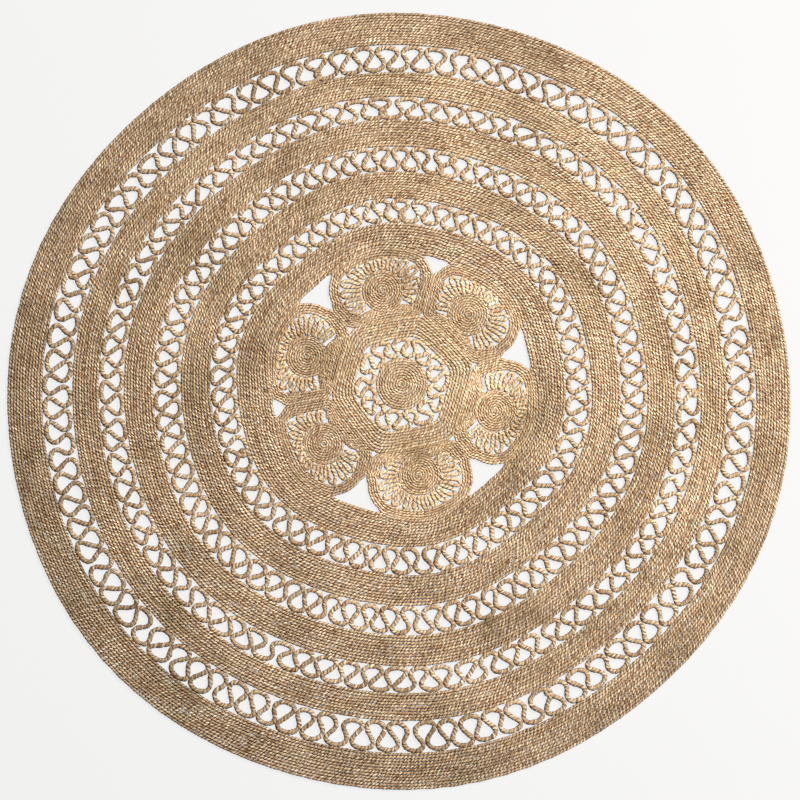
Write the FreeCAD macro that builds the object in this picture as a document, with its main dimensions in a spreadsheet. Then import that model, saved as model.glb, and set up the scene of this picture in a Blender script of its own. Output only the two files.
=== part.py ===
import FreeCAD, Part
import math
import os

import Sketcher
from FreeCAD import Vector

# A round jute rug, made of one layer of cord lying flat: a coiled medallion, six petals around it,
# and rings that alternate between close-laid rows (bands) and a looping cord (laces).
# Millimetres, +Z up. The underside lies on Z = 0, under the middle of the rug's outline.

DIMENSIONS = {
    # The whole rug
    "rug_radius": 915,
    "rug_thickness": 8.5,
    "cord_pitch": 6.65,
    "clearance": 0.3,
    # How the rings leave the true circle: they grow oval, six-cornered and off-centre inwards
    "oval": 6.3,
    "oval_angle": 22,
    "corners_at_rim": 3,
    "corners_at_middle": 5,
    "corner_angle": 42,
    "centring_radius": 355,
    "medallion_x": 6,
    "medallion_y": 41,
    # Rows in each band, counted from the middle out; band 1 closes on the petals instead
    "band_2_rows": 10,
    "band_3_rows": 10,
    "band_4_rows": 9,
    "band_5_rows": 12,
    # Laces: room between the bands, how many waves go round, and how far each wave swings sideways
    "lace_cord": 8.6,
    "lace_thickness": 8,
    "lace_1_width": 63,
    "lace_1_waves": 54,
    "lace_1_swing": 1.6,
    "lace_2_width": 65.5,
    "lace_2_waves": 70,
    "lace_2_swing": 1.62,
    "lace_3_width": 60,
    "lace_3_waves": 75,
    "lace_3_swing": 1.7,
    "lace_4_width": 71,
    "lace_4_waves": 88,
    "lace_4_swing": 1.72,
    # Middle of the rug, measured from the medallion's own centre
    "medallion_coil_radius": 61,
    "medallion_waves": 12,
    "medallion_swing": 1.5,
    "medallion_lace_wall": 107,
    "medallion_wall": 153,
    "medallion_round": 190,
    "nest_wall": 312,
    "nest_round": 352,
    # Petals: a coil, a fan of hairpin fingers and a wrap of rows
    "petal_thickness": 8,
    "petal_coil_radius": 49,
    "petal_round": 126,
    "petal_wrap_width": 23.5,
    "petal_outer_wrap_width": 20,
    "finger_cord": 7.4,
    "finger_count": 15,
    "finger_spread": 122,
    "wrap_closing_start": 6,
    "wrap_closing": 10,
    "coil_edge": 2.5,
}

# Each petal's direction from the medallion in degrees, and its distance in millimetres
PETALS = {1: (46, 226), 2: (101.5, 223), 3: (164, 232), 4: (217.5, 230), 5: (281, 218), 6: (344, 229)}

LACES = (1, 2, 3, 4)
BANDS = (1, 2, 3, 4, 5)
CORNERS = 6
CELL_SHARPNESS = 12
NEST_TURNS = (-40, -20, 0, 20, 40)
OUTLINE_POINTS = 120
WAVE_POINTS = 16
LOOP_SHOULDER = 0.15

doc = FreeCAD.newDocument("jute_rug")
sheet = doc.addObject("Spreadsheet::Sheet", "Sizes")
for row, (alias, value) in enumerate(DIMENSIONS.items(), start=1):
    sheet.set(f"A{row}", alias)
    sheet.set(f"B{row}", str(value))
    sheet.setAlias(f"B{row}", alias)
doc.recompute()


def size(alias):
    """A driving dimension, read from the sheet."""
    return float(sheet.get(alias))


def polar(centre, radius, angle):
    """The point at a distance and an angle in radians from a centre."""
    return centre + Vector(math.cos(angle), math.sin(angle), 0) * radius


# --- Outlines: each is a function from an angle to a point on a closed line round the middle ---


def ring_outline(mean_radius):
    """Edge of a ring of rows, nearly a circle, that drifts towards the medallion's centre inwards."""
    share = (size("rug_radius") - mean_radius) / (size("rug_radius") - size("centring_radius"))
    share = min(share, 1)
    centre = medallion_centre * share
    corners = size("corners_at_rim") * (1 - share) + size("corners_at_middle") * share

    def outline(angle):
        oval = size("oval") * math.cos(2 * (angle - math.radians(size("oval_angle"))))
        six = corners * math.cos(CORNERS * (angle - math.radians(size("corner_angle"))))
        return polar(centre, mean_radius + oval + six, angle)

    return outline


def cell_outline(centre, walls, round_limit):
    """Edge of a soft-cornered cell: straight walls, each (angle, distance), blended with a round limit."""

    def outline(angle):
        press = round_limit**-CELL_SHARPNESS
        for wall_angle, distance in walls:
            lean = math.cos(angle - wall_angle) / distance
            press += max(lean, 0) ** CELL_SHARPNESS
        return polar(centre, press ** (-1 / CELL_SHARPNESS), angle)

    return outline


def shifted(walls, change):
    """The same walls, moved outwards by a distance."""
    return [(angle, distance + change) for angle, distance in walls]


def closed_wire(points, span):
    """A smooth closed line through the points, as one curve for every span of them."""
    count = len(points)
    ahead = [(points[(index + 1) % count] - points[index - 1]).normalize() for index in range(count)]
    edges = []
    for start in range(0, count, span):
        end = (start + span) % count
        stretch = [points[(start + step) % count] for step in range(span + 1)]
        curve = Part.BSplineCurve()
        curve.interpolate(Points=stretch, InitialTangent=ahead[start], FinalTangent=ahead[end], Scale=False)
        edges.append(curve.toShape())
    return Part.Wire(edges)


def outline_wire(outline):
    """The closed line that an outline draws."""
    turns = [2 * math.pi * step / OUTLINE_POINTS for step in range(OUTLINE_POINTS)]
    return closed_wire([outline(turn) for turn in turns], OUTLINE_POINTS // CORNERS)


def face_between(outer_wire, inner_wire):
    """Flat face between two closed lines."""
    return Part.makeFace([outer_wire, inner_wire], "Part::FaceMakerBullseye")


# --- Flat sub-parts: a drawn face, raised by a thickness that is bound to the sheet ---


def raise_face(name, face, thickness_alias):
    """A sub-part that is a flat face raised from the underside to a thickness kept in the sheet."""
    drawing = doc.addObject("Part::Feature", name + "_drawing")
    drawing.Shape = face
    solid = doc.addObject("Part::Extrusion", name)
    solid.Label = name
    solid.Base = drawing
    solid.DirMode = "Custom"
    solid.Dir = Vector(0, 0, 1)
    solid.Solid = True
    solid.setExpression("LengthFwd", f"Sizes.{thickness_alias}")
    solid.Placement = FreeCAD.Placement()
    return solid


def add_band(number, outer, inner):
    """Rows of cord laid side by side round the rug."""
    face = face_between(outline_wire(outer), outline_wire(inner))
    return raise_face(f"band_{number}", face, "rug_thickness")


def loop_point(inner, outer, waves, swing, phase):
    """Where the lace cord's middle runs: it swings between two tracks and doubles back into loops."""
    angle = (phase + swing * math.sin(2 * phase)) / waves
    wave = (math.cos(phase) + LOOP_SHOULDER * math.cos(3 * phase)) / (1 + LOOP_SHOULDER)
    share = 0.5 + 0.5 * wave
    return inner(angle) * (1 - share) + outer(angle) * share


def add_lace(name, inner, outer, waves, swing):
    """One cord that loops out and in all the way round, so that neighbouring loops all but touch."""
    small_step = 0.001
    sides = {1: [], -1: []}
    for step in range(waves * WAVE_POINTS):
        phase = 2 * math.pi * step / WAVE_POINTS
        here = loop_point(inner, outer, waves, swing, phase)
        ahead = loop_point(inner, outer, waves, swing, phase + small_step) - here
        across = Vector(-ahead.y, ahead.x, 0).normalize() * (size("lace_cord") / 2)
        for side, points in sides.items():
            points.append(here + across * side)
    face = face_between(closed_wire(sides[1], WAVE_POINTS // 2), closed_wire(sides[-1], WAVE_POINTS // 2))
    return raise_face(name, face, "lace_thickness")


# --- Coils: round discs with a softened top edge ---


def add_coil(name, centre, radius_alias):
    """A flat coil of cord, as a disc."""
    body = doc.addObject("PartDesign::Body", name)
    body.Label = name
    sketch = body.newObject("Sketcher::SketchObject", name + "_circle")
    ground = [plane for plane in body.Origin.OriginFeatures if plane.Role == "XY_Plane"][0]
    sketch.AttachmentSupport = [(ground, "")]
    sketch.MapMode = "FlatFace"
    circle = sketch.addGeometry(Part.Circle(Vector(), Vector(0, 0, 1), size(radius_alias)))
    sketch.addConstraint(Sketcher.Constraint("Coincident", circle, 3, -1, 1))
    radius = sketch.addConstraint(Sketcher.Constraint("Radius", circle, size(radius_alias)))
    sketch.renameConstraint(radius, "coil_radius")
    sketch.setExpression("Constraints.coil_radius", f"Sizes.{radius_alias}")
    pad = body.newObject("PartDesign::Pad", name + "_pad")
    pad.Profile = sketch
    pad.setExpression("Length", "Sizes.petal_thickness")
    doc.recompute()
    top = [
        f"Edge{index}"
        for index, edge in enumerate(pad.Shape.Edges, start=1)
        if edge.BoundBox.ZMin > size("petal_thickness") / 2
    ]
    edge_round = body.newObject("PartDesign::Fillet", name + "_edge")
    edge_round.Base = (pad, top)
    edge_round.setExpression("Radius", "Sizes.coil_edge")
    body.Placement = FreeCAD.Placement(centre, FreeCAD.Rotation())
    return body


# --- Petal fingers: one cord folded into a fan of hairpins ---


def finger_side(centre, legs, turns, half_width, side):
    """One edge of the folded cord: a round turn between each two legs, joined by straight lines."""
    leg_start, leg_end = legs[0], legs[-1]
    quarter = math.pi / 2
    foot = turns["start_radius"]
    corner = polar(polar(centre, foot, leg_start), side * half_width, leg_start - quarter)
    edges = []
    for index, (turn_distance, turn_radius) in enumerate(turns["list"]):
        near, far = legs[index], legs[index + 1]
        middle = (near + far) / 2
        outward = index % 2 == 0
        radius = turn_radius + (side if outward else -side) * half_width
        peak = middle if outward else middle + math.pi
        hub = polar(centre, turn_distance, middle)
        begin, crown, end = (polar(hub, radius, angle) for angle in (near - quarter, peak, far + quarter))
        edges.append(Part.makeLine(corner, begin))
        edges.append(Part.Arc(begin, crown, end).toShape())
        corner = end
    last = polar(polar(centre, foot, leg_end), side * half_width, leg_end + quarter)
    edges.append(Part.makeLine(corner, last))
    return edges


def add_fingers(name, centre, facing, wrap_inside):
    """The fan of hairpins between a petal's coil and its wrap, open towards the medallion."""
    half_width = size("finger_cord") / 2
    margin = half_width + size("clearance")
    leg_count = 2 * int(size("finger_count"))
    spread = math.radians(size("finger_spread"))
    step = 2 * spread / (leg_count - 1)
    legs = [facing - spread + step * index for index in range(leg_count)]
    pinch = math.sin(step / 2)
    inner_distance = (size("petal_coil_radius") + margin) / (1 - pinch)
    turn_list = []
    for index in range(leg_count - 1):
        distance = inner_distance
        if index % 2 == 0:
            room = [(wrap_inside(legs[index] + step * share) - centre).Length for share in (0, 0.5, 1)]
            distance = (min(room) - margin) / (1 + pinch)
        turn_list.append((distance, distance * pinch))
    turns = {"start_radius": size("petal_coil_radius") + size("clearance"), "list": turn_list}
    left = finger_side(centre, legs, turns, half_width, 1)
    right = finger_side(centre, legs, turns, half_width, -1)
    ends = [
        Part.makeLine(left[0].Vertexes[0].Point, right[0].Vertexes[0].Point),
        Part.makeLine(left[-1].Vertexes[-1].Point, right[-1].Vertexes[-1].Point),
    ]
    face = Part.Face(Part.Wire(Part.__sortEdges__(left + right + ends)))
    return raise_face(name, face, "petal_thickness")


# --- The rug ---

medallion_centre = Vector(size("medallion_x"), size("medallion_y"), 0)
petal_centres = {
    number: polar(medallion_centre, reach, math.radians(angle))
    for number, (angle, reach) in PETALS.items()
}

# Ring edges, from the rim inwards
band_outer = {}
band_inner = {}
edge_radius = size("rug_radius")
for number in reversed(BANDS):
    band_outer[number] = edge_radius
    if number > 1:
        edge_radius -= size(f"band_{number}_rows") * size("cord_pitch")
        band_inner[number] = edge_radius
        edge_radius -= size(f"lace_{number - 1}_width")

# The nest is the six-cornered opening inside band 1, with a corner at each petal
corner_step = 2 * math.pi / CORNERS
first_wall = math.radians(size("corner_angle")) + corner_step / 2
nest_walls = [(first_wall + corner_step * corner, size("nest_wall")) for corner in range(CORNERS)]
nest = cell_outline(medallion_centre, nest_walls, size("nest_round"))
nest_edge = [nest(2 * math.pi * step / OUTLINE_POINTS) - medallion_centre for step in range(OUTLINE_POINTS)]

for number in BANDS:
    inner = ring_outline(band_inner[number]) if number > 1 else nest
    add_band(number, ring_outline(band_outer[number]), inner)

lace_margin = size("lace_cord") / 2 + size("clearance")
for number in LACES:
    add_lace(
        f"lace_{number}",
        ring_outline(band_outer[number] + lace_margin),
        ring_outline(band_inner[number + 1] - lace_margin),
        int(size(f"lace_{number}_waves")),
        size(f"lace_{number}_swing"),
    )

# Medallion: its walls face the petals
medallion_walls = [(math.radians(angle), size("medallion_wall")) for angle, reach in PETALS.values()]
lace_wall_shift = size("medallion_lace_wall") - size("medallion_wall")
lace_walls = shifted(medallion_walls, lace_wall_shift)
lace_round = size("medallion_round") + lace_wall_shift
add_coil("medallion_coil", medallion_centre, "medallion_coil_radius")
add_lace(
    "medallion_lace",
    cell_outline(medallion_centre, [], size("medallion_coil_radius") + lace_margin),
    cell_outline(medallion_centre, shifted(lace_walls, -lace_margin), lace_round - lace_margin),
    int(size("medallion_waves")),
    size("medallion_swing"),
)
medallion_face = face_between(
    outline_wire(cell_outline(medallion_centre, medallion_walls, size("medallion_round"))),
    outline_wire(cell_outline(medallion_centre, lace_walls, lace_round)),
)
raise_face("medallion_wrap", medallion_face, "petal_thickness")


def nest_room(angle):
    """How far the nest reaches from the medallion's centre in a direction."""
    return max(point.dot(polar(Vector(), 1, angle)) for point in nest_edge)


def petal_walls(number):
    """What holds a petal in: the medallion, its two neighbours and the nest.

    Each wall is its direction, its distance from the petal's centre, and how wide the wrap is along it.
    """
    centre = petal_centres[number]
    angle, reach = PETALS[number]
    facing = math.radians(angle)
    half_gap = size("clearance") / 2
    wrap = size("petal_wrap_width")
    walls = [(facing + math.pi, reach - size("medallion_wall") - half_gap, wrap)]
    for step in (-1, 1):
        neighbour = petal_centres[(number - 1 + step) % CORNERS + 1] - centre
        walls.append((math.atan2(neighbour.y, neighbour.x), neighbour.Length / 2 - half_gap, wrap))
    for turn in map(math.radians, NEST_TURNS):
        distance = nest_room(facing + turn) - reach * math.cos(turn) - half_gap
        walls.append((facing + turn, distance, size("petal_outer_wrap_width")))
    return walls


def wrap_inside_outline(centre, facing, cell):
    """Inner edge of a petal's wrap: the cell where the fingers are, and the coil behind them."""
    coil_edge = size("petal_coil_radius") + 2 * size("clearance")
    finger_end = math.radians(size("finger_spread") + size("wrap_closing_start"))
    closing = math.radians(size("wrap_closing"))

    def outline(angle):
        away = abs((angle - facing + math.pi) % (2 * math.pi) - math.pi)
        share = min(max((away - finger_end) / closing, 0), 1)
        share = share * share * (3 - 2 * share)
        reach = max((cell(angle) - centre).Length, coil_edge)
        return polar(centre, reach * (1 - share) + coil_edge * share, angle)

    return outline


def add_petal(number):
    """Coil, fingers and wrap of one petal."""
    centre = petal_centres[number]
    facing = math.radians(PETALS[number][0])
    walls = petal_walls(number)
    outside = cell_outline(centre, [(angle, gap) for angle, gap, wrap in walls], size("petal_round"))
    inside = cell_outline(
        centre,
        [(angle, gap - wrap) for angle, gap, wrap in walls],
        size("petal_round") - size("petal_wrap_width"),
    )
    wrap_inside = wrap_inside_outline(centre, facing, inside)
    add_coil(f"petal_{number}_coil", centre, "petal_coil_radius")
    add_fingers(f"petal_{number}_fingers", centre, facing, inside)
    face = face_between(outline_wire(outside), outline_wire(wrap_inside))
    raise_face(f"petal_{number}_wrap", face, "petal_thickness")


for number in PETALS:
    add_petal(number)

doc.recompute()

# --- Check and write ---

sub_parts = [item for item in doc.Objects if item.TypeId in ("Part::Extrusion", "PartDesign::Body")]
for item in doc.Objects:
    if "Invalid" in item.State or "Error" in item.State:
        raise RuntimeError(f"{item.Name} did not build: {item.State}")
for item in sub_parts:
    shape = item.Shape
    if shape.isNull() or not shape.isValid() or len(shape.Solids) != 1:
        raise RuntimeError(f"{item.Label} is not one valid solid")

os.makedirs("parts", exist_ok=True)
for item in sub_parts:
    item.Shape.exportStep(f"parts/{item.Label}.step")
    print(f"{item.Label}: {item.Shape.Volume / 1000:.1f} cm3")
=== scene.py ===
import math

import bpy
import numpy as np
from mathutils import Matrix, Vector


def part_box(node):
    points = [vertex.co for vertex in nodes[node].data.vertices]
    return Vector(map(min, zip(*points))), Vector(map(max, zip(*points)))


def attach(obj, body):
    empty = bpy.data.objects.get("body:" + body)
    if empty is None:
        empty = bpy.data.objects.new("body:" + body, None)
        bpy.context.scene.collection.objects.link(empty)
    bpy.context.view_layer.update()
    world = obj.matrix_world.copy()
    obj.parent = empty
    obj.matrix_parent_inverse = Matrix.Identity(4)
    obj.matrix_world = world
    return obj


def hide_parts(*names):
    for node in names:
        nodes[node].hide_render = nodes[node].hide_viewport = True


# Looks for a round jute rug, sewn from one layer of two-ply cord: a coiled medallion, six petals,
# and rings that alternate between close-laid rows (bands) and a looping cord (laces). Metres, +Z up.

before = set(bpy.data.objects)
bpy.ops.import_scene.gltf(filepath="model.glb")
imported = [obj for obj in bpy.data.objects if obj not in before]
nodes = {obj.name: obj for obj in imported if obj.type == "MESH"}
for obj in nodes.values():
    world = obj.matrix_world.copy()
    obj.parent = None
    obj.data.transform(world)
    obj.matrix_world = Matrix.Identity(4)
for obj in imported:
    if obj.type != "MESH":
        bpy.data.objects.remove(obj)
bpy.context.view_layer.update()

TURN = 2 * math.pi
MM = 0.001

BANDS = (1, 2, 3, 4, 5)
PETALS = (1, 2, 3, 4, 5, 6)

# Cord sizes: how far apart rows are laid, and how wide the free cord of the laces and fingers is
ROW_PITCH = 6.65 * MM
PETAL_PITCH = 5.9 * MM
COIL_PITCH = 6.3 * MM
LACE_CORD = 12.1 * MM
FINGER_CORD = 9.6 * MM

# Two-ply S-twist cord: one full turn of the two strands, and how far apart its cross-sections are
LAY = 18.5 * MM
STEP = 2.6 * MM

# Cross-section of the cord: turns round the cord in degrees, and shares of its half width there.
# The two strands are the two bulges, and the groove between them is shallower in tight-laid cord.
SECTION = (0, 40, 90, 140, 180, 220, 270, 320)
OPEN_LAID = (1.0, 0.96, 0.76, 0.96, 1.0, 0.96, 0.76, 0.96)
TIGHT_LAID = (1.0, 0.97, 0.83, 0.97, 1.0, 0.97, 0.83, 0.97)
ROW_FILL = 1.21  # how wide a row is drawn, against its pitch, because neighbours press into each other
FOOT = 0.56  # how far the flattened underside spreads sideways, as a share of the cord's width
TRODDEN = 0.7 * MM  # how much of its round underside the cord loses where it lies on the floor
EDGE_PRESS = 0.5 * MM  # how far the rows along an edge lean over it, into their neighbours

# Pieces in the middle close up where their outlines are nearer than this to the nest, and to each other
NEST_APART = 12 * MM
APART = 20 * MM

# How pale each part came out, against the others of its kind
PALENESS = {
    "band_5": 0.91, "lace_4": 0.88, "petal_1": 1.15, "petal_2": 1.05, "petal_3": 1.18, "petal_4": 0.99,
    "petal_5": 1.23, "petal_6": 1.32,
}

# How high the rows stand, and how much lower than its node a looping cord stays
BAND_HEIGHT = 6.9 * MM
WRAP_HEIGHT = 6.4 * MM
BELOW_NODE = 0.4 * MM

# Where each kind of piece starts its own seeded chance
SEEDS = {
    "band": 100, "band_rows": 40, "lace": 200, "medallion_coil": 300, "medallion_lace": 301,
    "medallion_wrap": 302, "medallion_rows": 303, "petal_coil": 400, "petal_wrap": 410,
    "petal_rows": 420, "petal_fingers": 430,
}


# --- Outlines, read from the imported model's nodes ---


FLAT_WITHIN = 0.01 * MM  # a vertex this near the underside is on it
DECIMALS = 6  # points are told apart by the micrometre


def outlines(name):
    """The closed lines round a flat node's underside, as arrays of points, the longest first."""
    mesh = nodes[name].data
    points = [(round(v.co.x, DECIMALS), round(v.co.y, DECIMALS)) for v in mesh.vertices]
    floor = min(v.co.z for v in mesh.vertices)
    uses = {}
    for face in mesh.polygons:
        if all(mesh.vertices[index].co.z - floor < FLAT_WITHIN for index in face.vertices):
            corners = [points[index] for index in face.vertices]
            for start, end in zip(corners, corners[1:] + corners[:1]):
                uses[(start, end)] = uses.get((start, end), 0) + 1
    ahead = {start: end for start, end in uses if (end, start) not in uses}
    lines = []
    while ahead:
        start, here = ahead.popitem()
        line = [start]
        while here != start:
            line.append(here)
            here = ahead.pop(here)
        lines.append(np.array(line))
    return sorted(lines, key=len_of_line, reverse=True)


def len_of_line(line):
    """How long a closed line is."""
    return np.hypot(*(line - np.roll(line, 1, axis=0)).T).sum()


class Edge:
    """A closed line round a centre, as a distance for each direction."""

    def __init__(self, line, centre):
        away = line - centre
        turns = np.arctan2(away[:, 1], away[:, 0]) % TURN
        order = np.argsort(turns)
        self.turns = turns[order]
        self.distances = np.hypot(*away[order].T)

    def __call__(self, turns):
        return np.interp(turns % TURN, self.turns, self.distances, period=TURN)


def polar(centre, distances, turns):
    """Points at distances and directions from a centre."""
    return centre + np.stack([distances * np.cos(turns), distances * np.sin(turns)], axis=1)


# --- Chance: small seeded changes that keep hand-laid cord from looking machined ---


WANDER_PARTS = 9  # how many waves are added up
WANDER_COUNTS = (0.4, 1.9)  # how many times round each goes, as shares of the number asked for
WANDER_WEIGHTS = (0.5, 1)
WANDER_SIZE = 2.6  # what brings the sum to about 1 at its largest


def wander(turns, waves, rng):
    """A smooth wandering value between about -1 and 1 round a closed line, with about that many waves."""
    total = np.zeros_like(turns)
    counts = np.maximum(1, np.round(waves * rng.uniform(*WANDER_COUNTS, WANDER_PARTS)))
    phases = rng.uniform(0, TURN, WANDER_PARTS)
    weights = rng.uniform(*WANDER_WEIGHTS, WANDER_PARTS)
    for count, phase, weight in zip(counts, phases, weights):
        total += weight * np.cos(count * turns + phase)
    return total / WANDER_SIZE


# --- Cord: a twisted two-ply tube along a line ---


YARN_START = 40.0  # a piece's yarn starts somewhere along this many metres, so that no two look alike
TWIST_SWAY, TWIST_EVERY = 0.5, 160 * MM  # how unevenly the strands are laid, in radians, and how often
ROW_SLUB, LOOP_SLUB, SLUB_EVERY = 0.07, 0.08, 35 * MM  # thick and thin places, as a share of the thickness
SINK, SINK_EVERY = 0.03, 90 * MM  # high and low places, as a share of half the height
END_SECTION = 0.35  # the share of its whole cross-section that a free end starts with
END_TAPER = 1.6  # the widths of cord over which as much as a whole cross-section is added to that
UNDERSIDE = 0.3  # the share of the height, from the floor up, where the flattened underside blends in
FOOT_STEEP = 2.2  # how soon a point away from the underside's middle line is out at the foot's edge
SPARE = 1.001  # a piece's flat size is this much larger than its area


def paleness(node):
    """How pale a node's part came out. A petal's coil, fingers and wrap share its value."""
    part = "_".join(node.split("_")[:2])
    return PALENESS.get(part, 1.0)


class Cord:
    """Collects twisted tubes, and makes them one piece."""

    def __init__(self, name, node, slot, seed):
        self.name, self.node, self.slot = name, node, slot
        self.pale = paleness(node)
        self.reaches = OPEN_LAID if slot == "jute_band" else TIGHT_LAID
        self.rng = np.random.default_rng(seed)
        self.points, self.faces, self.yarn = [], [], []
        self.count, self.length = 0, self.rng.uniform(0, YARN_START)
        self.run = 0.0

    def add(self, line, width, height, closed, slub=ROW_SLUB):
        """A tube along a line of points in the plane, lying on the floor."""
        line = spaced(line, closed)
        count = len(line)
        if closed:
            ahead = np.roll(line, -1, axis=0) - np.roll(line, 1, axis=0)
        else:
            ahead = np.gradient(line, axis=0)
        ahead /= np.hypot(*ahead.T)[:, None]
        left = np.stack([-ahead[:, 1], ahead[:, 0]], axis=1)
        steps = np.hypot(*np.diff(line, axis=0).T)
        run = np.concatenate([[0], np.cumsum(steps)])
        total = run[-1] + (np.hypot(*(line[0] - line[-1])) if closed else 0)
        lays = max(1, round(total / LAY))
        share = run / total
        twist = self.rng.uniform(0, TURN) - TURN * lays * share
        twist += TWIST_SWAY * wander(TURN * share, total / TWIST_EVERY, self.rng)
        thick = 1 + slub * wander(TURN * share, total / SLUB_EVERY, self.rng)
        if not closed:
            from_end = np.minimum(run, total - run)
            thick *= np.sqrt(np.clip(from_end / (END_TAPER * width) + END_SECTION, 0, 1))
        sink = SINK * wander(TURN * share, total / SINK_EVERY, self.rng)
        points = np.zeros((count, len(SECTION), 3))
        yarn = np.zeros((count, len(SECTION), 3))
        for index, (degrees, reach) in enumerate(zip(SECTION, self.reaches)):
            around = twist + math.radians(degrees)
            upwards = (1 + sink + reach * thick * np.sin(around)) * (height + TRODDEN) / 2
            low = np.clip(1 - upwards / (UNDERSIDE * height), 0, 1)
            foot = FOOT * thick * np.clip(FOOT_STEEP * np.cos(around), -1, 1) * width
            sideways = (1 - low) * reach * thick * np.cos(around) * width / 2 + low * foot
            points[:, index, :2] = line + left * sideways[:, None]
            points[:, index, 2] = np.maximum(upwards - TRODDEN, 0.0)
            yarn[:, index, 0] = self.length + run
            yarn[:, index, 1] = math.cos(math.radians(degrees))
            yarn[:, index, 2] = math.sin(math.radians(degrees))
        self.points.append(points.reshape(-1, 3))
        self.yarn.append(yarn.reshape(-1, 3))
        self.faces.append(tube_faces(count, closed) + self.count)
        self.count += count * len(SECTION)
        if not closed:
            self.close_ends(points, yarn)
        self.length += total
        self.run += total

    def close_ends(self, points, yarn):
        """A point in the middle of each end, and faces from it to the end's cross-section."""
        sides = len(SECTION)
        first = self.count - len(points) * sides
        last = self.count - sides
        middles = np.stack([points[0].mean(axis=0), points[-1].mean(axis=0)])
        self.points.append(middles)
        self.yarn.append(np.stack([yarn[0].mean(axis=0), yarn[-1].mean(axis=0)]))
        here = np.arange(sides)
        following = (here + 1) % sides
        start = np.stack([first + following, first + here, np.full(sides, self.count)], axis=1)
        end = np.stack([last + here, last + following, np.full(sides, self.count + 1)], axis=1)
        self.faces.append(np.concatenate([start, end]))
        self.count += 2

    def finish(self, width, length, pitch):
        """The piece itself, riding on the rug in its CAD node's place.

        Width, length and pitch are not used.
        """
        points = np.concatenate(self.points)
        mesh = bpy.data.meshes.new(self.name)
        corners = np.concatenate([faces.ravel() for faces in self.faces])
        sizes = np.concatenate([np.full(len(faces), faces.shape[1]) for faces in self.faces])
        mesh.vertices.add(len(points))
        mesh.vertices.foreach_set("co", points.astype(np.float32).ravel())
        mesh.loops.add(len(corners))
        mesh.loops.foreach_set("vertex_index", corners.astype(np.int32))
        mesh.polygons.add(len(sizes))
        mesh.polygons.foreach_set("loop_start", (np.cumsum(sizes) - sizes).astype(np.int32))
        mesh.polygons.foreach_set("use_smooth", np.ones(len(sizes), bool))
        mesh.update(calc_edges=True)
        attribute = mesh.attributes.new("yarn", "FLOAT_VECTOR", "POINT")
        attribute.data.foreach_set("vector", np.concatenate(self.yarn).astype(np.float32).ravel())
        pale = mesh.attributes.new("pale", "FLOAT", "POINT")
        pale.data.foreach_set("value", np.full(len(points), self.pale, np.float32))
        piece = bpy.data.objects.new(self.name, mesh)
        bpy.context.scene.collection.objects.link(piece)
        mesh.materials.append(MATERIALS[self.slot])
        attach(piece, "root")
        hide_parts(self.node)


CORNER_KEPT = 0.75  # how much of a corner's own place is kept when a line is smoothed


def eased_line(line, closed):
    """The same line with twice the points, and smoother."""
    before, after = np.roll(line, 1, axis=0), np.roll(line, -1, axis=0)
    corners = CORNER_KEPT * line + (1 - CORNER_KEPT) / 2 * (before + after)
    if not closed:
        corners[0], corners[-1] = line[0], line[-1]
    doubled = np.stack([corners, (line + after) / 2], axis=1).reshape(-1, 2)
    return doubled if closed else doubled[:-1]


FEWEST_STEPS = 4


def spaced(line, closed, step=STEP):
    """The same line with its points a step apart."""
    loop = np.concatenate([line, line[:1]]) if closed else line
    run = np.concatenate([[0], np.cumsum(np.hypot(*np.diff(loop, axis=0).T))])
    count = max(FEWEST_STEPS, round(run[-1] / step))
    places = np.linspace(0, run[-1], count + 1)
    if closed:
        places = places[:-1]
    return np.stack([np.interp(places, run, loop[:, axis]) for axis in (0, 1)], axis=1)


def tube_faces(count, closed):
    """Four-sided faces between the cross-sections of a tube, with their outsides out."""
    sides = len(SECTION)
    rings = np.arange(count if closed else count - 1)
    here = np.arange(sides)
    following = (here + 1) % sides
    near, far = rings[:, None] * sides, ((rings[:, None] + 1) % count) * sides
    faces = np.stack([near + here, near + following, far + following, far + here], axis=2)
    return faces.reshape(-1, 4)


# --- Rows laid side by side between two edges ---


EDGE_STEPS = 1440  # points round a ring
RING = np.linspace(0, TURN, EDGE_STEPS, endpoint=False)  # and their directions
FREE_SHARE = 0.15  # a row that ends between others starts where this share of its width is free
ROW_EASE = 0.5  # such a row opens up while the room grows by this share of a row
EVEN_ROOM = 2.5  # where the room changes by fewer rows than this, every row goes all the way round
SHORTEST_ROW = 3  # in pitches
SHARED_SWAY, SHARED_WAVES = 0.9 * MM, 26  # how far the rows wander together, and about how many times round
SHARED_TURN = 3  # how many of a ring's points this wandering moves round from row to row
CALM_ROWS = 3  # the wandering dies away this many rows from an edge
OWN_SWAY, OWN_WAVES = 0.45 * MM, 70  # how far each row wanders by itself
ROW_WIDTHS = (0.96, 1.04)
ROW_HEIGHTS = (0.93, 1.05)
ALMOST = 1e-6  # keeps whole numbers of rows whole, and divisions finite


def leaning(line, others, centre, outward, apart):
    """The line moved half way to the outlines beside it, where they are less than about half of apart away.

    Outward is 1 where the neighbours are further from the centre than the line, and -1 where they are nearer.
    """
    line = spaced(line, True, MM)
    gaps = np.full(len(line), apart)
    for other in others:
        for point in spaced(other, True, MM):
            gaps = np.minimum(gaps, np.hypot(*(line - point).T))
    lean = gaps / 2 * smooth(2 * (apart - gaps) / apart)
    away = line - centre
    return centre + away * (1 + outward * lean / np.hypot(*away.T))[:, None]


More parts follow.
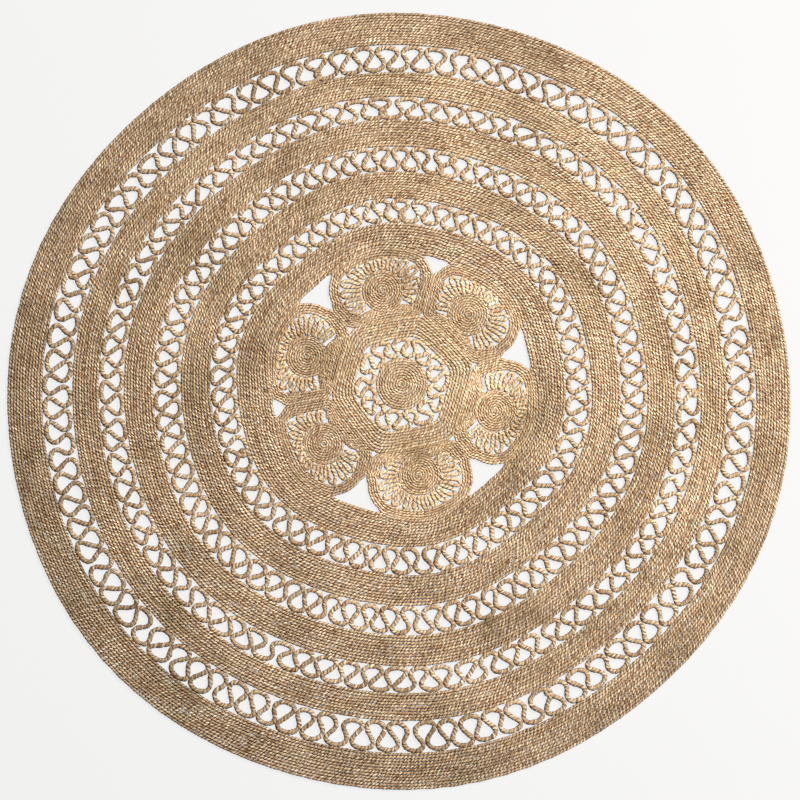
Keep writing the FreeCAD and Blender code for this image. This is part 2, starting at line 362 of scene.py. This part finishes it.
def lay_rows(cord_for, centre, inner, outer, pitch, height, from_inside, seed):
    """Rows that fill the room between two edges. Where the room narrows, rows end in its middle.

    The first from_inside rows follow the inner edge, and the others follow the outer edge.
    """
    rng = np.random.default_rng(seed)
    low, high = inner(RING) - EDGE_PRESS, outer(RING) + EDGE_PRESS
    room = (high - low) / pitch
    whole = np.floor(room + 0.5 - ALMOST)
    part = room + 0.5 - whole
    fitted = np.maximum(whole - 1 + smooth(part / ROW_EASE), from_inside + 0.5)
    if np.ptp(room) < EVEN_ROOM:
        fitted = np.full_like(room, round(room.mean()))
    width = (high - low) / fitted
    shared = SHARED_SWAY * wander(RING, SHARED_WAVES, rng)
    start = rng.uniform(0, 1, EDGE_STEPS)[0]
    for row in range(math.ceil(fitted.max())):
        if row < from_inside:
            distance = low + (row + 0.5) * width
            free = np.full(EDGE_STEPS, True)
        else:
            distance = high - (row - from_inside + 0.5) * width
            free = fitted > row + FREE_SHARE
        edge_room = np.minimum(distance - low, high - distance)
        calm = np.clip(edge_room / (CALM_ROWS * pitch), 0, 1)
        own = OWN_SWAY * wander(RING, OWN_WAVES, rng)
        shift = np.roll(shared, round(SHARED_TURN * row + start)) * calm + own
        for stretch in stretches(free):
            closed = len(stretch) == EDGE_STEPS
            line = polar(centre, (distance + shift)[stretch], RING[stretch])
            if closed or len_of_open(line) > SHORTEST_ROW * pitch:
                wide = pitch * ROW_FILL * rng.uniform(*ROW_WIDTHS)
                cord_for(row).add(line, wide, height * rng.uniform(*ROW_HEIGHTS), closed)


def smooth(share):
    """Eases a share from 0 to 1."""
    share = np.clip(share, 0, 1)
    return share * share * (3 - 2 * share)


def len_of_open(line):
    """How long an open line is."""
    return np.hypot(*np.diff(line, axis=0).T).sum()


def stretches(free):
    """The unbroken stretches of a closed ring of yes and no values, as lists of places."""
    count = len(free)
    if free.all():
        return [np.arange(count)]
    first = int(np.argmin(free))
    order = (np.arange(count) + first) % count
    runs, run = [], []
    for place in order:
        if free[place]:
            run.append(place)
        elif run:
            runs.append(np.array(run))
            run = []
    if run:
        runs.append(np.array(run))
    return runs


def middle_of(line):
    """The middle of an outline's box."""
    return (line.min(axis=0) + line.max(axis=0)) / 2


NEST_ROWS = 2  # the rows of the first band that follow its inner edge, round the petals


def add_band(number, pieces):
    """A band of rows, in a few pieces so that none is too heavy."""
    node = f"band_{number}"
    outer_line, inner_line = outlines(node)
    centre = middle_of(inner_line)
    if number == 1:
        petals = [outlines(f"petal_{petal}_wrap")[0] for petal in PETALS]
        inner_line = leaning(inner_line, petals, centre, -1, NEST_APART)
    inner, outer = Edge(inner_line, centre), Edge(outer_line, centre)
    cords = []
    for index in range(pieces):
        cords.append(Cord(f"{node}_rows_{index + 1}", node, "jute_band", SEEDS["band"] * number + index))
    rows = np.ceil(((outer(RING) - inner(RING)) / ROW_PITCH).max())
    per_piece = math.ceil(rows / pieces)
    lay_rows(
        lambda row: cords[min(int(row // per_piece), pieces - 1)],
        centre, inner, outer, ROW_PITCH, BAND_HEIGHT, NEST_ROWS if number == 1 else 0,
        SEEDS["band_rows"] + number,
    )
    for cord in cords:
        cord.finish(per_piece * ROW_PITCH * ROW_FILL, cord.run / per_piece * SPARE, ROW_PITCH * ROW_FILL)


# --- Loops: a cord that swings between two edges ---


LACE_STEPS = 28  # points in each wave
EDGE_REACH = 0.37  # how near a looping cord's middle comes to an edge, as a share of its width
POINTED = 0.04  # how much more pointed a loop is than a plain wave where it meets an edge
SHORTFALL = 0.5  # how much less far out the shortest loop reaches, as a share of its chance
PUSH_ROUNDS = 70
PUSH_PAST = 1.75  # stretches of cord push each other only when more widths than this lie between them
FEWEST_BETWEEN = 3  # and at least this many points
TOUCHING = 0.93  # cords touch where their middles are this share of a width apart
GIVE = 0.25  # how much of an overlap each side gives way in one round
STIFFNESS = 0.5  # how far each round smooths the cord's move along itself, against sharp bends


def loops(centre, inner, outer, waves, swing, spread, cord, rng, chance):
    """A looping cord's line. It swings between the edges, and where loops meet they push each other aside.

    Swing is how far it doubles back sideways, and chance is how much one loop differs from the next.
    """
    start, end = spread
    closed = math.isclose(end - start, TURN)
    count = waves * LACE_STEPS
    phase = TURN * np.arange(count if closed else count + 1) / LACE_STEPS
    halves = 2 * waves
    lean = chance * rng.uniform(-1, 1, halves)
    reach = rng.uniform(0, 1, halves) ** 2 * chance
    bulge = chance * rng.uniform(-1, 1, halves)
    half = (np.round(phase / math.pi).astype(int)) % halves
    near = smooth(np.abs(np.cos(phase)))
    doubled_back = (swing + bulge[half] * near) * np.sin(2 * phase)
    turns = start + (end - start) * (phase + doubled_back) / (TURN * waves)
    turns += lean[half] * near * (end - start) / waves
    share = 0.5 - 0.5 * (np.cos(phase) + POINTED * np.cos(3 * phase)) / (1 + POINTED)
    share = 0.5 + (share - 0.5) * (1 - SHORTFALL * reach[half] * near)
    margin = cord * EDGE_REACH
    low, high = inner(turns) + margin, outer(turns) - margin
    line = polar(centre, low + (high - low) * share, turns)
    line = pushed_apart(line, centre, inner, outer, cord, closed)
    return eased_line(eased_line(line, closed), closed)


def pushed_apart(line, centre, inner, outer, cord, closed):
    """The line after its loops have pushed each other aside, bent smoothly and stayed between the edges."""
    laid = line
    count = len(line)
    margin = cord * EDGE_REACH
    gap = max(FEWEST_BETWEEN, round(PUSH_PAST * cord / (len_of_open(line) / count)))
    reach = range(gap, 2 * LACE_STEPS)
    for _ in range(PUSH_ROUNDS):
        push = np.zeros_like(line)
        for offset in reach:
            away = line - np.roll(line, offset, axis=0)
            distance = np.hypot(*away.T)
            overlap = np.clip(TOUCHING * cord - distance, 0, None)
            if not closed:
                overlap[:offset] = 0
            move = away * (GIVE * overlap / np.maximum(distance, ALMOST))[:, None]
            push += move - np.roll(move, -offset, axis=0)
        moved = line + push - laid
        eased = (np.roll(moved, 1, axis=0) + np.roll(moved, -1, axis=0)) / 2
        if not closed:
            eased[0], eased[-1] = moved[0], moved[-1]
        line = laid + moved + (eased - moved) * STIFFNESS
        away = line - centre
        turns = np.arctan2(away[:, 1], away[:, 0])
        distance = np.clip(np.hypot(*away.T), inner(turns) + margin, outer(turns) - margin)
        line = polar(centre, distance, turns)
    return line


LACE_WAVES = {1: 54, 2: 70, 3: 75, 4: 88}
LACE_SWING, LACE_CHANCE = 1.75, 0.19


def add_lace(number):
    """The looping cord between two bands."""
    node = f"lace_{number}"
    outer_line = outlines(f"band_{number + 1}")[1]
    inner_line = outlines(f"band_{number}")[0]
    centre = middle_of(inner_line)
    cord = Cord(node + "_cord", node, "jute_lace", SEEDS["lace"] + number)
    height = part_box(node)[1].z - BELOW_NODE
    line = loops(
        centre, Edge(inner_line, centre), Edge(outer_line, centre),
        LACE_WAVES[number], LACE_SWING, (0, TURN), LACE_CORD, cord.rng, LACE_CHANCE,
    )
    cord.add(line, LACE_CORD, height, True, slub=LOOP_SLUB)
    room = Edge(outer_line, centre).distances.mean() - Edge(inner_line, centre).distances.mean()
    cord.finish(room, len_of_line(inner_line) + math.pi * room, LACE_CORD)


# --- The middle: medallion and petals ---


COIL_START = 0.1  # the turn of the spiral at which the cord starts
COIL_RIM = 0.42  # how far inside the rim the last turn's middle lies, as a share of the pitch
COIL_TAIL = 0.6  # how much of a turn the coil's last turn goes on round its rim, beside the turn before
COIL_STEPS = 3000
COIL_SWAY, COIL_WAVES = 0.3 * MM, 7  # how far the turns wander, and about how many times round


def add_coil(node, slot, pitch, seed):
    """A flat spiral of cord."""
    low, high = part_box(node)
    centre = np.array([(low.x + high.x) / 2, (low.y + high.y) / 2])
    radius = (high.x - low.x) / 2
    cord = Cord(node + "_spiral", node, slot, seed)
    rim = radius - COIL_RIM * pitch
    turns = np.linspace(COIL_START * TURN, (rim / pitch + COIL_TAIL) * TURN, COIL_STEPS)
    start = cord.rng.uniform(0, TURN)
    distances = np.minimum(pitch * turns / TURN, rim)
    distances += COIL_SWAY * wander(turns, COIL_WAVES, cord.rng) * smooth(2 * distances / radius)
    line = polar(centre, distances, start + turns)
    cord.add(line, pitch * ROW_FILL, WRAP_HEIGHT, False)
    cord.finish(2 * radius, cord.run * pitch * ROW_FILL / (2 * radius) * SPARE, pitch * ROW_FILL)


MEDALLION_WAVES, MEDALLION_SWING, MEDALLION_CHANCE = 12, 1.6, 0.16
MEDALLION_START = 0.3  # the direction, in radians, in which its lace starts


def add_medallion():
    """Coil, lace and wrap in the middle of the rug."""
    add_coil("medallion_coil", "jute_medallion", COIL_PITCH, SEEDS["medallion_coil"])
    outer_line, inner_line = outlines("medallion_wrap")
    coil = outlines("medallion_coil")[0]
    centre = middle_of(coil)
    petals = [outlines(f"petal_{petal}_wrap")[0] for petal in PETALS]
    outer_line = leaning(outer_line, petals, centre, 1, APART)
    rim, inner, outer = Edge(coil, centre), Edge(inner_line, centre), Edge(outer_line, centre)
    lace = Cord("medallion_lace_cord", "medallion_lace", "jute_medallion", SEEDS["medallion_lace"])
    line = loops(
        centre, rim, inner, MEDALLION_WAVES, MEDALLION_SWING,
        (MEDALLION_START, MEDALLION_START + TURN), LACE_CORD, lace.rng, MEDALLION_CHANCE,
    )
    lace.add(line, LACE_CORD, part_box("medallion_lace")[1].z - BELOW_NODE, True, slub=LOOP_SLUB)
    room = inner.distances.mean() - rim.distances.mean()
    lace.finish(room, len_of_line(coil) + math.pi * room, LACE_CORD)
    wrap = Cord("medallion_wrap_rows", "medallion_wrap", "jute_medallion", SEEDS["medallion_wrap"])
    lay_rows(lambda row: wrap, centre, inner, outer, ROW_PITCH, BAND_HEIGHT, 0, SEEDS["medallion_rows"])
    width = outer.distances.mean() - inner.distances.mean()
    wrap.finish(width, wrap.run * ROW_PITCH * ROW_FILL / width * SPARE, ROW_PITCH * ROW_FILL)


FINGER_TURNS = 15
FINGER_PRESS = 1.8 * MM  # how far the fingers press over the rim of their coil
FINGER_SPREAD = math.radians(126)  # how far the fan goes round to each side
FINGER_SWING, FINGER_CHANCE = 0.85, 0.12


def add_petal(number, medallion):
    """Coil, fingers and wrap of a petal."""
    name = f"petal_{number}"
    add_coil(name + "_coil", "jute_petal", PETAL_PITCH, SEEDS["petal_coil"] + number)
    outer_line, inner_line = outlines(name + "_wrap")
    coil = outlines(name + "_coil")[0]
    centre = middle_of(coil)
    others = [outlines(f"petal_{other}_wrap")[0] for other in PETALS if other != number]
    others.append(outlines("medallion_wrap")[0])
    outer_line = leaning(outer_line, others, centre, 1, APART)
    outer_line = leaning(outer_line, [outlines("band_1")[1]], centre, 1, NEST_APART)
    rim, inner, outer = Edge(coil, centre), Edge(inner_line, centre), Edge(outer_line, centre)
    wrap = Cord(name + "_wrap_rows", name + "_wrap", "jute_petal", SEEDS["petal_wrap"] + number)
    lay_rows(
        lambda row: wrap, centre, inner, outer, PETAL_PITCH, WRAP_HEIGHT, 0, SEEDS["petal_rows"] + number,
    )
    width = outer.distances.mean() - inner.distances.mean()
    wrap.finish(width, wrap.run * PETAL_PITCH * ROW_FILL / width * SPARE, PETAL_PITCH * ROW_FILL)
    away = centre - medallion
    facing = math.atan2(away[1], away[0])
    fingers = Cord(name + "_fingers_cord", name + "_fingers", "jute_petal", SEEDS["petal_fingers"] + number)
    line = loops(
        centre, lambda turns: rim(turns) - FINGER_PRESS, inner, FINGER_TURNS, FINGER_SWING,
        (facing - FINGER_SPREAD, facing + FINGER_SPREAD), FINGER_CORD, fingers.rng, FINGER_CHANCE,
    )
    fingers.add(line, FINGER_CORD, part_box(name + "_fingers")[1].z - BELOW_NODE, False)
    room = inner.distances.mean() - rim.distances.mean()
    fingers.finish(room, fingers.run * FINGER_CORD / room * SPARE, FINGER_CORD)


# --- Materials ---


def linear(hex_colour):
    """An sRGB hex colour as Blender's linear RGBA."""
    values = [int(hex_colour[index : index + 2], 16) / 255 for index in (1, 3, 5)]
    return [v / 12.92 if v <= 0.04045 else ((v + 0.055) / 1.055) ** 2.4 for v in values] + [1.0]


def add_node(tree, kind, values=(), **settings):
    """A node with its settings. Each named or numbered input gets a value, or the output it takes."""
    node = tree.nodes.new(kind)
    for key, value in settings.items():
        setattr(node, key, value)
    for key, value in dict(values).items():
        if isinstance(value, bpy.types.NodeSocket):
            tree.links.new(value, node.inputs[key])
        else:
            node.inputs[key].default_value = value
    return node


def ramp_colours(node, stops):
    """Sets a colour ramp's stops, each a place and a hex colour."""
    elements = node.color_ramp.elements
    while len(elements) < len(stops):
        elements.new(0.5)
    for element, (place, colour) in zip(elements, stops):
        element.position = place
        element.color = linear(colour)


# Real sizes in the cord. The numbers across are changes from the cord's middle to its side.
DRIFT_LENGTH, DRIFT_ACROSS = 60 * MM, 1.3  # how far along a strand its colour changes
FLECK_LENGTH, FLECK_ACROSS = 6 * MM, 1.6
FIBRE_LENGTH, FIBRE_ACROSS = 20 * MM, 9.0  # about 0.5 mm wide
PATCH_SIZE = 200 * MM
# Painted shade between rows: the cord darkens towards this deep brown below the first height, and is unshaded
# above the second
SHADED_BELOW, UNSHADED_ABOVE = 3.4 * MM, 6.6 * MM
PAINTED_SHADE_COLOUR = "#6A4630"
RELIEF = 0.5 * MM  # how deep the fibres' bumps are


def jute(name, stops, patch_colour, patch_share, low_shade, groove_shade):
    """Jute: coarse bast fibre, spun into strands and laid as two-ply cord, undyed.

    Every strand drifts between straw, tan and brown along its length, with short flecks and fine fibres
    that follow the twist. Painted shade darkens it towards deep brown in the groove between the two strands
    and low down between rows. The two shades are how much light is left low down between rows, and in the
    groove.
    """
    material = bpy.data.materials.new(name)
    material.use_nodes = True
    tree = material.node_tree
    tree.nodes.clear()
    yarn = add_node(tree, "ShaderNodeAttribute", attribute_name="yarn").outputs["Vector"]
    place = add_node(tree, "ShaderNodeTexCoord").outputs["Object"]
    # The colour changes along each strand, and differs between the two strands
    drift_place = add_node(
        tree, "ShaderNodeMapping", {"Vector": yarn, "Scale": (1 / DRIFT_LENGTH, DRIFT_ACROSS, DRIFT_ACROSS)}
    )
    drift = add_node(
        tree, "ShaderNodeTexNoise",
        {"Vector": drift_place.outputs[0], "Scale": 1.0, "Detail": 3.0, "Roughness": 0.62},
    )
    colours = add_node(tree, "ShaderNodeValToRGB", {"Fac": drift.outputs["Fac"]})
    ramp_colours(colours, stops)
    # Darker and paler flecks
    fleck_place = add_node(
        tree, "ShaderNodeMapping", {"Vector": yarn, "Scale": (1 / FLECK_LENGTH, FLECK_ACROSS, FLECK_ACROSS)}
    )
    fleck = add_node(
        tree, "ShaderNodeTexNoise", {"Vector": fleck_place.outputs[0], "Scale": 1.0, "Detail": 2.0}
    )
    fleck_shade = add_node(
        tree, "ShaderNodeMapRange",
        {"Value": fleck.outputs["Fac"], "From Min": 0.3, "From Max": 0.7, "To Min": 0.5, "To Max": 1.35},
    )
    # Fine fibres that follow the strands
    fibre_place = add_node(
        tree, "ShaderNodeMapping", {"Vector": yarn, "Scale": (1 / FIBRE_LENGTH, FIBRE_ACROSS, FIBRE_ACROSS)}
    )
    fibre = add_node(
        tree, "ShaderNodeTexNoise", {"Vector": fibre_place.outputs[0], "Scale": 1.0, "Detail": 2.0}
    )
    fibre_shade = add_node(
        tree, "ShaderNodeMapRange",
        {"Value": fibre.outputs["Fac"], "From Min": 0.25, "From Max": 0.75, "To Min": 0.8, "To Max": 1.12},
    )
    # Painted shade in the groove between the strands, which is where the yarn's first side value is near zero
    sides = add_node(tree, "ShaderNodeSeparateXYZ", {"Vector": yarn})
    bulge = add_node(tree, "ShaderNodeMath", {0: sides.outputs["Y"]}, operation="ABSOLUTE")
    painted_groove_shade = add_node(
        tree, "ShaderNodeMapRange",
        {"Value": bulge.outputs[0], "From Min": 0.1, "From Max": 0.72, "To Min": groove_shade, "To Max": 1.0},
    )
    # Painted shade low down between the rows: the cord darkens towards the floor
    heights = add_node(tree, "ShaderNodeSeparateXYZ", {"Vector": place})
    painted_row_shade = add_node(
        tree, "ShaderNodeMapRange",
        {
            "Value": heights.outputs["Z"], "From Min": SHADED_BELOW, "From Max": UNSHADED_ABOVE,
            "To Min": low_shade, "To Max": 1.0,
        },
    )
    # Patches of the rug where the fibre came greyer
    patch = add_node(
        tree, "ShaderNodeTexNoise",
        {"Vector": place, "Scale": 1 / PATCH_SIZE, "Detail": 3.0, "Roughness": 0.6},
    )
    patch_part = add_node(
        tree, "ShaderNodeMapRange",
        {
            "Value": patch.outputs["Fac"], "From Min": 0.42, "From Max": 0.72,
            "To Min": 0.0, "To Max": patch_share,
        },
    )
    patched = add_node(
        tree, "ShaderNodeMix",
        {"Factor": patch_part.outputs[0], 6: colours.outputs["Color"], 7: linear(patch_colour)},
        data_type="RGBA", blend_type="MULTIPLY",
    )
    shade = add_node(
        tree, "ShaderNodeMath", {0: fleck_shade.outputs[0], 1: fibre_shade.outputs[0]}, operation="MULTIPLY"
    )
    # Painted shade: the groove and the low parts are mixed towards the deep brown shade colour
    unshaded = add_node(tree, "ShaderNodeMath", {0: painted_groove_shade.outputs[0], 1: painted_row_shade.outputs[0]}, operation="MULTIPLY")
    painted_shade_amount = add_node(tree, "ShaderNodeMath", {0: 1.0, 1: unshaded.outputs[0]}, operation="SUBTRACT")
    painted_shade_mixed = add_node(
        tree, "ShaderNodeMix", {"Factor": painted_shade_amount.outputs[0], 6: patched.outputs[2], 7: linear(PAINTED_SHADE_COLOUR)},
        data_type="RGBA", blend_type="MULTIPLY",
    )
    pale = add_node(tree, "ShaderNodeAttribute", attribute_name="pale").outputs["Fac"]
    shade = add_node(tree, "ShaderNodeMath", {0: shade.outputs[0], 1: pale}, operation="MULTIPLY")
    shaded = add_node(
        tree, "ShaderNodeVectorMath", {0: painted_shade_mixed.outputs[2], "Scale": shade.outputs[0]}, operation="SCALE"
    )
    bump = add_node(
        tree, "ShaderNodeBump", {"Height": shade.outputs[0], "Strength": 0.6, "Distance": RELIEF}
    )
    surface = add_node(
        tree, "ShaderNodeBsdfPrincipled",
        {
            "Base Color": shaded.outputs[0], "Normal": bump.outputs[0], "Roughness": 0.82,
            "IOR": 1.45, "Specular IOR Level": 0.25, "Sheen Weight": 0.12, "Sheen Roughness": 0.5,
        },
    )
    surface.inputs["Base Color"].default_value = linear(stops[len(stops) // 2][1])
    output = add_node(tree, "ShaderNodeOutputMaterial")
    tree.links.new(surface.outputs[0], output.inputs["Surface"])
    return material


MATERIALS = {
    "jute_band": jute(
        "jute_cord_close_laid",
        [(0.35, "#6E4630"), (0.43, "#AE8662"), (0.50, "#D5BA94"), (0.57, "#EBDABC"), (0.66, "#FAF0D8")],
        "#BDBBAC", 0.85, 0.04, 0.32,
    ),
    "jute_lace": jute(
        "jute_cord_looped",
        [(0.34, "#6E4630"), (0.42, "#A27C5A"), (0.50, "#C4A985"), (0.59, "#DCCBAF"), (0.69, "#F8EFE0")],
        "#C0BAA8", 0.8, 0.08, 0.42,
    ),
    "jute_medallion": jute(
        "jute_cord_medallion",
        [(0.33, "#7A4D31"), (0.41, "#BC926C"), (0.50, "#DCC49C"), (0.59, "#EFDFC4"), (0.69, "#FCF4E4")],
        "#D0CAB8", 0.5, 0.08, 0.5,
    ),
    "jute_petal": jute(
        "jute_cord_petal",
        [(0.34, "#7A4D31"), (0.42, "#BC9069"), (0.50, "#DEC39B"), (0.58, "#EAD9BC"), (0.68, "#F6EDDC")],
        "#B4B3A4", 0.9, 0.08, 0.5,
    ),
}


# --- The rug ---

BAND_PIECES = {1: 1, 2: 2, 3: 2, 4: 2, 5: 3}
for number in BANDS:
    add_band(number, BAND_PIECES[number])
for number in LACE_WAVES:
    add_lace(number)
add_medallion()
medallion_centre = middle_of(outlines("medallion_coil")[0])
for number in PETALS:
    add_petal(number, medallion_centre)


# --- Floor, light and camera ---


FLOOR_SIZE = 12
FLOOR_DROP = 0.3 * MM  # how far below the rug's underside the floor is, so that the two don't flicker
FLOOR_GLOW = 0.81


def add_floor():
    """A plain pale floor, lit from within like a light table, so that it stays pale under the laces."""
    bpy.ops.object.select_all(action="DESELECT")
    bpy.ops.mesh.primitive_plane_add(size=FLOOR_SIZE, location=(0, 0, -FLOOR_DROP))
    floor = bpy.context.object
    floor.name = "floor"
    material = bpy.data.materials.new("floor_pale_matt")
    material.use_nodes = True
    surface = material.node_tree.nodes["Principled BSDF"]
    surface.inputs["Base Color"].default_value = linear("#404040")
    surface.inputs["Roughness"].default_value = 0.9
    surface.inputs["Emission Color"].default_value = linear("#FFFFFF")
    surface.inputs["Emission Strength"].default_value = FLOOR_GLOW
    floor.data.materials.append(material)


def add_light(name, direction, height, distance, size, power, colour):
    """A square soft light that looks at the rug's middle from a compass direction in degrees."""
    light = bpy.data.lights.new(name, "AREA")
    light.size = size
    light.energy = power
    light.color = linear(colour)[:3]
    lamp = bpy.data.objects.new(name, light)
    turn = math.radians(direction)
    lamp.location = (distance * math.cos(turn), distance * math.sin(turn), height)
    bpy.context.scene.collection.objects.link(lamp)
    lamp.rotation_euler = lamp.location.to_track_quat("Z", "Y").to_euler()


CAMERA_HEIGHT = 6.0
CAMERA_SHIFT = (2.6 * MM, 3.3 * MM)  # how far the camera stands from straight above the rug's middle
VIEW_WIDTH = 1.879
SENSOR_WIDTH = 36  # millimetres
FARTHEST = 50


def add_camera():
    """Straight overhead, from far enough up that the rug looks flat."""
    camera = bpy.data.cameras.new("overhead")
    camera.sensor_width = SENSOR_WIDTH
    camera.lens = SENSOR_WIDTH * CAMERA_HEIGHT / VIEW_WIDTH
    camera.clip_end = FARTHEST
    stand = bpy.data.objects.new("overhead", camera)
    stand.location = (*CAMERA_SHIFT, CAMERA_HEIGHT)
    bpy.context.scene.collection.objects.link(stand)
    bpy.context.scene.camera = stand


def add_world(strength, colour):
    """An even pale light from all round."""
    world = bpy.data.worlds.new("studio")
    world.use_nodes = True
    background = world.node_tree.nodes["Background"]
    background.inputs["Color"].default_value = linear(colour)
    background.inputs["Strength"].default_value = strength
    bpy.context.scene.world = world


add_floor()
add_light("key", direction=45, height=4.2, distance=6.0, size=1.6, power=1090, colour="#FFF8EE")
add_light("side", direction=-8, height=1.8, distance=2.3, size=1.2, power=50, colour="#FFFAF2")
add_camera()
add_world(0.13, "#F4F6FA")
bpy.context.scene.view_settings.view_transform = "Standard"
